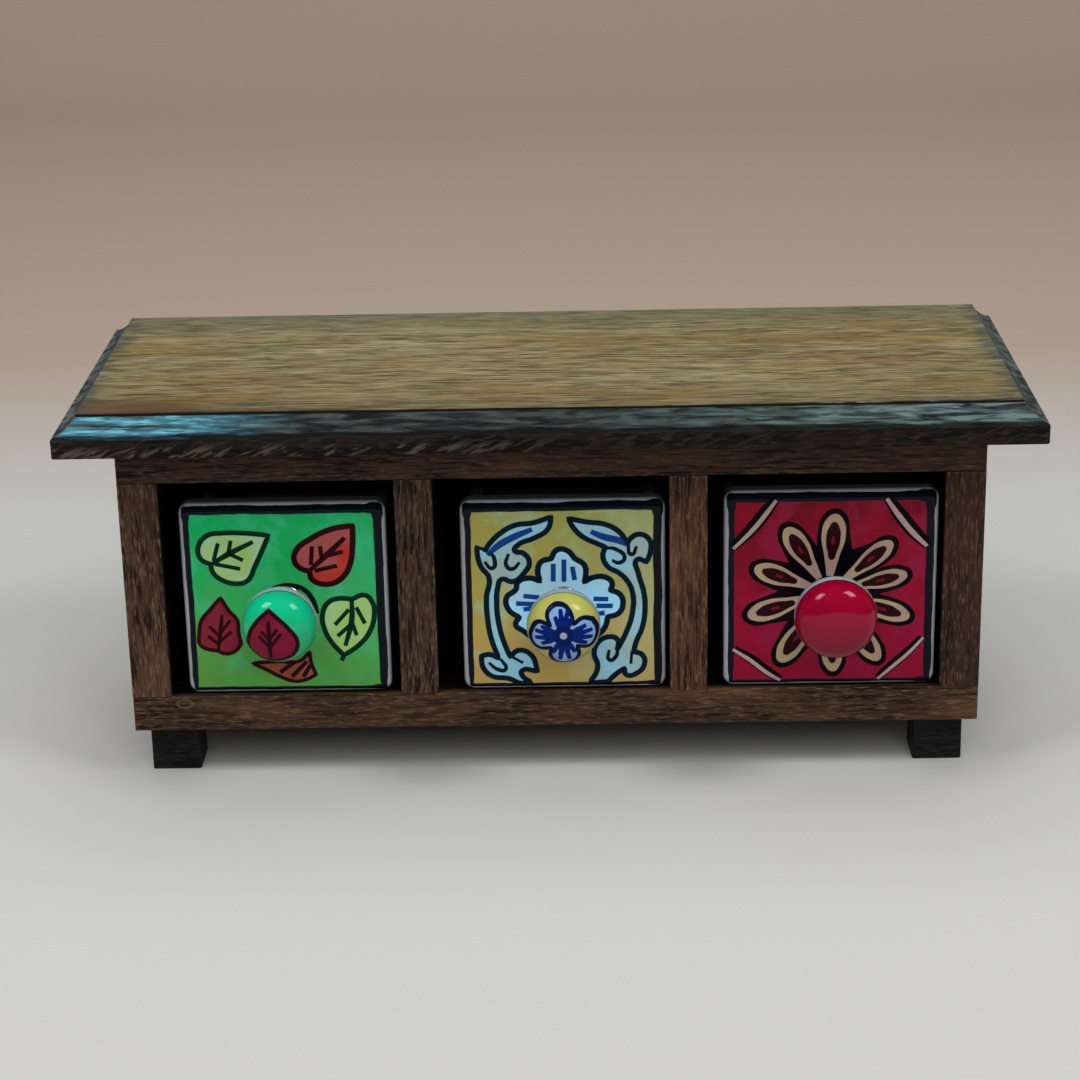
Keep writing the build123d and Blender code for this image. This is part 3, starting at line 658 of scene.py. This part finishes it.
def draw_shapes(name, shapes):
    """Two curves, one that fills outlines and one that follows lines with a round brush."""
    wash = bpy.data.curves.new(name + "_wash", "CURVE")
    brush = bpy.data.curves.new(name, "CURVE")
    wash.dimensions, wash.fill_mode, wash.extrude = "2D", "BOTH", BRUSH_RADIUS
    brush.dimensions, brush.use_fill_caps = "3D", True
    brush.bevel_depth, brush.bevel_resolution = BRUSH_RADIUS, BRUSH_SIDES
    wash.resolution_u = brush.resolution_u = CURVE_STEPS
    for points, sharp, width, closed in shapes:
        spline = (brush if width else wash).splines.new("BEZIER")
        spline.bezier_points.add(len(points) - 1)
        spline.use_cyclic_u = closed or not width
        for number, (knot, point) in enumerate(zip(spline.bezier_points, points)):
            knot.co = (*point, 0)
            knot.handle_left_type = knot.handle_right_type = "VECTOR" if number in sharp else "AUTO"
            at_end = number in (0, len(points) - 1) and not closed
            knot.radius = (width or 1.0) * (TIP_SHARE if at_end else 1.0)
    return [curve for curve in (wash, brush) if curve.splines]


def mesh_of(curve):
    """The curve as a bmesh, which leaves nothing of it in the scene."""
    carrier = bpy.data.objects.new(curve.name + "_curve", curve)
    scene.collection.objects.link(carrier)
    bpy.context.view_layer.update()
    flat = bmesh.new()
    evaluated = carrier.evaluated_get(bpy.context.evaluated_depsgraph_get())
    flat.from_mesh(bpy.data.meshes.new_from_object(evaluated))
    bpy.data.objects.remove(carrier)
    bmesh.ops.remove_doubles(flat, verts=flat.verts, dist=SAME_POINT)
    return flat


def paint(name, shapes, colour, on, body, proud=LINE, shade=None):
    """One paint on a glazed face, clouded with its shade where it has one.

    A shape is (points, numbers of the sharp ones, brush width or 0 for a fill, closed).
    """
    shape = bmesh.new()
    low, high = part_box(on)
    centre_x, centre_z = (low.x + high.x) / 2, (low.z + high.z) / 2
    for curve in draw_shapes(name, shapes):
        flat = mesh_of(curve)
        if on.endswith("knob"):
            bmesh.ops.triangulate(flat, faces=flat.faces)
            while long_edges := [e for e in flat.edges if e.calc_length() > LONGEST_EDGE]:
                bmesh.ops.subdivide_edges(flat, edges=long_edges, cuts=1)
                bmesh.ops.triangulate(flat, faces=flat.faces)
        for vert in flat.verts:
            right, up, out = vert.co
            before = (centre_x + right * MM, BEFORE_THE_FACE, centre_z + up * MM)
            _, spot, normal, _ = nodes[on].ray_cast(before, (0, 1, 0))
            vert.co = spot + normal * max(-SEAT, min(out, proud)) * MM
        bmesh.ops.recalc_face_normals(flat, faces=flat.faces)
        piece_mesh = bpy.data.meshes.new(name)
        flat.to_mesh(piece_mesh)
        flat.free()
        shape.from_mesh(piece_mesh)
    for face in shape.faces:
        face.smooth = True
    for edge in shape.edges:
        edge.smooth = edge.calc_face_angle(0) < CREASE
    material, tree, bsdf = new_material(name + "_paint")
    bsdf.inputs["Base Color"].default_value = colour
    if shade:
        cloud = shader_node(tree, "Group", ("Place", place_of(tree)[0]), node_tree=mottle).outputs["Cloud"]
        tree.links.new(mixed(tree, cloud, colour, shade), bsdf.inputs["Base Color"])
    glossy(bsdf, PAINT_MIRROR)
    keep_piece(shape, name, material, body)


def outlined(points, sharp, width):
    return [(points, sharp, width, True)]


def filled(*outlines):
    return [(points, sharp, 0, True) for points, sharp in outlines]


def strokes_of(width, *lines):
    return [(line, (), width, False) for line in lines]


# An outline is its points, in millimetres right and up from the middle of the face, and the
# numbers of the sharp ones.
PALE_LEAF = (
    [(-4.4, 21.7), (-11, 22.5), (-19, 22.7), (-24, 21.8), (-26.8, 18), (-26.2, 14.2), (-23.1, 12.3),
     (-22.8, 9.9), (-20.4, 7.3), (-15.6, 5.7), (-11.9, 6.6), (-9.4, 11.1)],
    (0, 6),
)
RED_LEAF = (
    [(22.3, 24.6), (15.7, 23.5), (8.8, 20.3), (4.2, 16.6), (3.4, 13.3), (4.8, 10.9), (8.1, 9.4),
     (8.6, 7), (11.2, 5.3), (15.2, 5.3), (18.9, 7.8), (21.1, 12.1), (22, 17.7)],
    (0, 6),
)
MAROON_LEAF = (
    [(-20.8, 0.8), (-18.4, -3.6), (-15.9, -7), (-15.7, -11.3), (-15.1, -15), (-17.4, -17.6), (-20.6, -18.3),
     (-22.8, -17.3), (-25.9, -16.7), (-28.3, -15), (-28.3, -11.1), (-27.3, -6.8), (-24.2, -3)],
    (0, 4),
)
RIGHT_LEAF = (
    [(21, -0.3), (25.3, 1), (27.5, -1.4), (28, -5.2), (26.2, -11.5), (22.8, -15.8), (17.7, -19.4),
     (13.9, -14.7), (11.8, -9.8), (11.6, -5), (13.6, -1.2), (16.8, 0)],
    (0, 6),
)
BROWN_LEAF = (
    [(-11.8, -21.8), (-3.6, -21.3), (3.2, -21.3), (6.7, -18.2), (7, -21.9), (8.4, -26),
     (5.1, -27.7), (1.5, -28.2), (-3, -26.6), (-7.4, -24.1)],
    (0, 3, 5),
)
PALE_OUTLINE, PALE_VEIN, RED_OUTLINE, RED_VEIN = 1.8, 2.2, 2.0, 2.3
DARK_OUTLINE, MAROON_VEIN, SHADOW_ARC_WIDTH, KNOB_VEIN = 1.4, 1.7, 1.7, 1.8
body, slot, on = "left_drawer_body", "green_glaze", "left_drawer"
LEAF_WASHES = {
    "pale_leaves": ((PALE_LEAF, RIGHT_LEAF), (150, 190, 104), (160, 196, 156)),
    "red_leaf": ((RED_LEAF,), (176, 52, 40), (160, 80, 78)),
    "maroon_leaf": ((MAROON_LEAF,), (122, 34, 50), (100, 24, 42)),
    "brown_leaf": ((BROWN_LEAF,), (132, 70, 50), (146, 90, 82)),
}
for name, (leaves, colour, shade) in LEAF_WASHES.items():
    paint(name, filled(*leaves), srgb(*colour), on, body, WASH, srgb(*shade))
paint(
    "green_leaf_lines",
    outlined(*PALE_LEAF, PALE_OUTLINE) + outlined(*RIGHT_LEAF, PALE_OUTLINE) + strokes_of(
        PALE_VEIN,
        [(-23, 12.3), (-17.7, 15.5), (-9.4, 19.7)], [(-22.2, 13.5), (-20.5, 19.4)],
        [(-17.4, 16), (-16.4, 20.2)], [(-17.2, 15.8), (-12.9, 13.5)], [(-21.9, 12.4), (-13.9, 10.6)],
        [(21, -0.3), (20.7, -7.5), (18.3, -16.2)], [(20, -3.7), (15.3, -8.9)], [(22.3, -3), (24.9, -8.6)],
        [(20.2, -9), (16, -12.8)], [(20.9, -8.5), (22.1, -12.6)], [(17.7, -19.4), (16.9, -21.3)],
    ),
    srgb(0, 44, 28), on, body,
)
paint(
    "red_leaf_lines",
    outlined(*RED_LEAF, RED_OUTLINE) + outlined(*MAROON_LEAF, DARK_OUTLINE)
    + outlined(*BROWN_LEAF, DARK_OUTLINE) + strokes_of(
        RED_VEIN,
        [(8.3, 9.9), (14.4, 15.5), (19.7, 20.6)], [(8.6, 11.6), (9.2, 17.9)], [(12.1, 13.6), (11.8, 17.9)],
        [(14.4, 14.8), (18.9, 15.9)], [(9.7, 9.6), (16.9, 11.2)],
        [(-3.1, -25.1), (1.8, -21.5)], [(0.6, -26.7), (5.7, -21.4)], [(4.3, -26.7), (6.7, -22.8)],
    ) + strokes_of(
        MAROON_VEIN,
        [(-22.5, -16.8), (-21.5, -10.7), (-20.7, -5)], [(-22, -12.2), (-25, -8.8)],
        [(-21.2, -10.7), (-18.1, -6.9)], [(-22.3, -15.1), (-25.6, -12.1)], [(-21.9, -14.1), (-17.9, -10.8)],
    ),
    srgb(42, 8, 14), on, body,
)
# Painted shadow: a dark arc on the face round the upper right of the knob.
paint(
    "knob_painted_shadow",
    strokes_of(SHADOW_ARC_WIDTH, [(-6.8, 2.3), (-2.3, 4.3), (2.2, 4.7), (5.9, 3.3), (8.6, -0.2), (10, -5)]),
    srgb(0, 20, 34), on, body,
)
KNOB_LEAF = (
    [(-2.4, 7.5), (0.8, 4.8), (3.8, 1.6), (6, -2.4), (5.1, -6.5), (2.1, -8.8), (-2.7, -9.4),
     (-6.6, -8.4), (-9.2, -5.1), (-9, -1.2), (-6.6, 3.4)],
    (0,),
)
on, slot = "left_knob", "green_knob_glaze"
paint("knob_leaf", filled(KNOB_LEAF), srgb(122, 26, 50), on, body, WASH, srgb(100, 18, 42))
paint(
    "knob_leaf_lines",
    outlined(*KNOB_LEAF, DARK_OUTLINE) + strokes_of(
        KNOB_VEIN,
        [(-2.5, -8.6), (-2.5, -1), (-2.5, 4.3)], [(-2.7, -4), (-5.8, -0.5)], [(-2.5, -4.5), (1.2, 0.4)],
        [(-2.7, -1.5), (-4.9, 1)], [(-2.4, -1.5), (0.1, 1.8)],
    ),
    srgb(40, 8, 20), on, body,
)

# ---- scrolls and flowers on the middle drawer and its knob -----------------------------
# Two pale blue scrolls stand at the sides of a flower that the knob half covers, and a
# smaller flower is painted on the knob. Pale washes first, then the navy outlines and the
# blue strokes, fired with the glaze as on the left drawer.
LEFT_SCROLL = (
    [(-3.5, 26.7), (-4.7, 22.6), (-9.2, 19.7), (-14.1, 17.6), (-15.3, 15.6), (-12.5, 14.6), (-10.7, 11.6),
     (-12.4, 8.1), (-16, 5.2), (-19.7, 6), (-20.9, 3.3), (-21.4, -2.7), (-20.8, -9.8), (-19.3, -15.9),
     (-17.5, -20.7), (-14.7, -18.5), (-10.9, -20), (-8.8, -25.7), (-13.9, -25.6), (-13.5, -27.7),
     (-11, -29.6), (-15, -29.6), (-18.2, -28.1), (-23.4, -27.2), (-26.1, -24.4), (-26.7, -20.3),
     (-24.1, -19.8), (-21.1, -21.2), (-23.3, -14.3), (-24.3, -7.7), (-24.5, -0.2), (-23.5, 6.6),
     (-25.9, 10.3), (-26.9, 13.8), (-27.1, 17), (-24.6, 15.8), (-22.9, 18.2), (-19.8, 21.3),
     (-15.1, 24), (-9.1, 24.8)],
    (0, 14, 17, 20, 21, 25, 27, 34, 35),
)
RIGHT_SCROLL = (
    [(2, 26.1), (7.6, 24.8), (13.1, 24), (17.7, 21.5), (20.4, 17.5), (21.8, 19.4), (24.6, 20.4),
     (27.4, 18.4), (27.6, 14.4), (26.4, 11.2), (23.4, 12), (23.8, 7.1), (25.4, 1.1), (25.8, -4.5),
     (24.9, -11), (22.9, -16), (22, -19.5), (24.8, -20.6), (25.5, -23.7), (23.3, -26.7), (19.8, -27.4),
     (19.1, -25.1), (16.3, -27.1), (13.9, -29.6), (8.2, -29.6), (10.1, -26.5), (10.6, -23.9),
     (9.5, -19.9), (10.7, -16.3), (14.1, -14.3), (16.9, -15.2), (16.8, -19), (20.2, -11.9),
     (21.9, -5.9), (22.1, 0.1), (20.5, 4.6), (17.6, 7.7), (14.3, 9.7), (12.7, 13.2), (13.5, 16.4),
     (10.7, 17.7), (6.1, 20.2), (3.4, 23.2)],
    (0, 4, 9, 16, 21, 23, 24, 31, 39),
)
FLOWER = (
    [(-13.1, -11.7), (-15.4, -9.6), (-14.2, -7.1), (-17.6, -4.3), (-18.1, -0.3), (-15.1, 2.4),
     (-14.4, 4.9), (-10.8, 6.2), (-7.4, 5.1), (-8, 8.6), (-7, 11.5), (-3.7, 12.7), (-1.8, 15.6),
     (1.4, 15.3), (3.7, 12.6), (6.7, 10.3), (7.1, 7.3), (6.6, 4.6), (9.2, 6), (13.4, 6.1),
     (15.4, 4.2), (14.9, 1.7), (17.9, 0.2), (18.8, -2.8), (17.4, -6.1), (13.9, -7.3), (13.2, -10.3),
     (12, -12.3), (8.4, -15.3), (5.5, -17.3), (0.1, -18.5), (-4.8, -17.6), (-9, -15)],
    (0, 2, 8, 11, 14, 17, 21, 25, 27),
)
SCROLL_OUTLINE, FLOWER_OUTLINE, CURL_WIDTH, BLUE_WIDTH = 1.9, 2.0, 1.6, 2.6
body, slot, on = "middle_drawer_body", "yellow_glaze", "middle_drawer"
paint(
    "blue_washes", filled(LEFT_SCROLL, RIGHT_SCROLL),
    srgb(138, 196, 220), on, body, WASH, srgb(150, 176, 174),
)
paint("flower_wash", filled(FLOWER), srgb(152, 216, 250), on, body, WASH, srgb(160, 204, 226))
paint(
    "navy_outlines",
    outlined(*LEFT_SCROLL, SCROLL_OUTLINE) + outlined(*RIGHT_SCROLL, SCROLL_OUTLINE)
    + outlined(*FLOWER, FLOWER_OUTLINE) + strokes_of(
        CURL_WIDTH,
        [(-24.9, 12), (-22.4, 9.8), (-21.8, 13.2), (-23.2, 15.2)],
        [(-17.2, 14.6), (-18, 10.7), (-16.4, 9.4), (-13.7, 11.6)],
        [(-24.4, -22.6), (-21.4, -25), (-19.1, -25), (-20.6, -21.2)], [(-16.8, -20.7), (-13.4, -22.8)],
        [(13.5, 16.1), (16.7, 15.6), (19.5, 12.6), (17.6, 11), (15.5, 11.9)],
        [(20.7, 17.5), (21.6, 13.8), (23.4, 16.5)],
        [(14.2, -18.7), (14.4, -22.2), (16.3, -21.2), (17.1, -17.9)], [(21.2, -23.6), (21.5, -19.5)],
    ),
    srgb(2, 26, 40), on, body,
)
paint(
    "blue_strokes",
    strokes_of(
        BLUE_WIDTH,
        [(-23.9, 14.3), (-19.9, 17.7), (-15.6, 20.1), (-9.6, 22.7)],
        [(8.9, 21.6), (13, 19.8), (17.7, 18.5), (21.1, 16.8)],
        [(-3.1, 11), (-3.2, 5)], [(0.3, 12.4), (0.2, 4.9)], [(2.9, 9.9), (3.6, 5.4)],
        [(-12.8, 0.2), (-7.7, -0.4)], [(-15.2, -2.3), (-8.7, -2.7)], [(-12.9, -4.4), (-9.7, -4)],
        [(9.5, -1.1), (14.2, -1.3)], [(10.4, -3.5), (15.6, -3.6)], [(10.9, -6.2), (13, -6)],
    ),
    srgb(14, 62, 132), on, body,
)
KNOB_FLOWER = (
    [(-1.3, 9.4), (1.5, 8.2), (3.2, 3.6), (6, 5.2), (9, 4.2), (10.4, 1), (10, -1.8), (8.3, -4), (4.2, -3.5),
     (4.4, -7.7), (0.3, -10.4), (-3.7, -8.2), (-3.9, -4.1), (-8.1, -4.4), (-10, -2.4), (-9.8, 0.9),
     (-7.6, 4), (-4, 3.1), (-4.9, 6.7), (-3.5, 8.6)],
    (2, 4, 8, 12, 17),
)
# Each ray is its angle in degrees and how far it reaches from the flower's eye.
KNOB_RAYS = [
    (64, 6.4), (80, 8), (96, 8.2), (113, 6.6), (-22, 7.8), (-7, 9), (8, 9), (23, 7.6),
    (-58, 6.8), (-78, 8.8), (-98, 8.8), (-120, 7), (158, 7.4), (172, 8.8), (187, 8.8), (203, 7.4),
]
KNOB_OUTLINE, RAY_START, RAY_WIDTH = 1.4, 1.6, 2.0


def ray(angle, reach):
    """Three points from the eye outwards."""
    along = (cos(radians(angle)), sin(radians(angle)))
    return [(far * along[0], far * along[1]) for far in (RAY_START, (RAY_START + reach) / 2, reach)]


on, slot = "middle_knob", "yellow_knob_glaze"
paint("knob_flower", filled(KNOB_FLOWER), srgb(110, 158, 214), on, body, WASH, srgb(128, 158, 204))
paint("knob_flower_lines", outlined(*KNOB_FLOWER, KNOB_OUTLINE), srgb(4, 20, 52), on, body)
knob_rays = [ray(angle, reach) for angle, reach in KNOB_RAYS]
paint("knob_flower_rays", strokes_of(RAY_WIDTH, *knob_rays), srgb(6, 32, 104), on, body)
DISC_RADIUS, EYE_RADIUS, DISC_PROUD, EYE_PROUD = 3.2, 1.1, 3 * WASH, 4 * WASH


def round_spot(radius):
    turns = [radians(turn) for turn in range(0, 360, 60)]
    return [(radius * cos(turn), radius * sin(turn)) for turn in turns], ()


paint("knob_flower_disc", filled(round_spot(DISC_RADIUS)), srgb(6, 24, 84), on, body, DISC_PROUD)
paint("knob_flower_eye", filled(round_spot(EYE_RADIUS)), srgb(150, 156, 180), on, body, EYE_PROUD)

# ---- daisy on the right drawer -------------------------------------------------------
# Ten cream petals with dark eyes lie on a scalloped patch of black ink round the plain red
# knob, with a pale stripe on black across each corner. The inks are laid one on the other,
# each a little prouder than the last, and fired with the glaze.
DAISY_MIDDLE = Vector((-0.6, -0.9))
PETAL_START, VALLEY = 5.5, 16.0
# Each petal is its angle in degrees, how far its tip reaches and its width.
PETALS = [
    (13, 25.5, 5.8), (40, 26, 6.2), (86, 26.4, 7.6), (122, 25.8, 7), (160, 25, 6.6), (197, 26.7, 6.8),
    (237, 28.2, 7.2), (274, 27.3, 6.6), (305, 28.8, 6.6), (341, 27.4, 6.4),
]
# Outlines by distance along the petal and by side, both as shares of its size.
TEARDROP = [
    (0, -0.14), (0.3, -0.3), (0.65, -0.5), (0.9, -0.36), (1, 0),
    (0.9, 0.36), (0.65, 0.5), (0.3, 0.3), (0, 0.14),
]
TEARDROP_HEAD, TEARDROP_SHARP = slice(2, 7), (0, 8)
PETAL_EYE = [
    (0.26, 0), (0.4, -0.2), (0.6, -0.3), (0.78, -0.22), (0.87, 0), (0.78, 0.22), (0.6, 0.3), (0.4, 0.2),
]
PETAL_SPOT = [(0.5, 0), (0.57, -0.07), (0.64, 0), (0.57, 0.07)]


def petal(outline, angle, tip, width):
    """The outline in millimetres, for a petal at this angle."""
    along = Vector((cos(radians(angle)), sin(radians(angle))))
    across = Vector((-along.y, along.x))
    return [
        tuple(DAISY_MIDDLE + along * (PETAL_START + far * (tip - PETAL_START)) + across * side * width)
        for far, side in outline
    ]


INK_MARGIN, TIP_MARGIN = 2.6, 0.7


def daisy_outline(margin):
    """One scalloped line round all the petals, and the numbers of its inward corners."""
    outline, corners = [], []
    for (before, *_), (angle, tip, width) in zip(PETALS[-1:] + PETALS[:-1], PETALS):
        middle = radians((before + angle) / 2 + (180 if before > angle else 0))
        corners.append(len(outline))
        outline.append(tuple(DAISY_MIDDLE + VALLEY * Vector((cos(middle), sin(middle)))))
        outline += petal(TEARDROP[TEARDROP_HEAD], angle, tip + TIP_MARGIN * margin, width + margin)
    return outline, corners


body, slot, on = "right_drawer_body", "red_glaze", "right_drawer"
CORNER_STRIPES = [
    ([(-17.4, 30.2), (-20.4, 26), (-24.2, 21), (-30.8, 14.2)], 1.7),
    ([(17.2, 30.2), (20.9, 24.8), (25.8, 18.6), (30.2, 14.2)], 2.0),
    ([(-30.8, -20.1), (-25.4, -23.8), (-20, -28.2), (-15.6, -31)], 1.5),
    ([(29.9, -16.9), (25.5, -22), (19.8, -27.2), (15.6, -31)], 1.3),
]
UPPER_OUTWARD, LOWER_INWARD, UPPER_EXTRA, LOWER_EXTRA = 1.015, 0.985, 2.6, 1.8


def stripe_ink(line, width):
    """The black under a stripe, wider than it and a little above it."""
    upper = line[0][1] > 0
    share, extra = (UPPER_OUTWARD, UPPER_EXTRA) if upper else (LOWER_INWARD, LOWER_EXTRA)
    return strokes_of(width + extra, [(share * right, share * up) for right, up in line])


stripe_inks = sum((stripe_ink(*stripe) for stripe in CORNER_STRIPES), [])
stripes = sum((strokes_of(width, line) for line, width in CORNER_STRIPES), [])
petals = filled(*((petal(TEARDROP, *shape), TEARDROP_SHARP) for shape in PETALS))
petal_eyes = filled(*((petal(PETAL_EYE, *shape), ()) for shape in PETALS))
petal_spots = filled(*((petal(PETAL_SPOT, *shape), ()) for shape in PETALS))
CREAM_PROUD, PETAL_EYE_PROUD, SPOT_PROUD = 2 * WASH, 3 * WASH, 4 * WASH
daisy_ink = filled(daisy_outline(INK_MARGIN)) + stripe_inks
paint("daisy_ink", daisy_ink, srgb(8, 5, 12), on, body, WASH)
paint("corner_stripes", stripes, srgb(170, 146, 142), on, body, CREAM_PROUD)
paint("daisy_cream", petals, srgb(170, 150, 116), on, body, CREAM_PROUD, srgb(158, 132, 124))
paint("daisy_eyes", petal_eyes, srgb(38, 8, 14), on, body, PETAL_EYE_PROUD)
paint("daisy_spots", petal_spots, srgb(104, 22, 34), on, body, SPOT_PROUD)
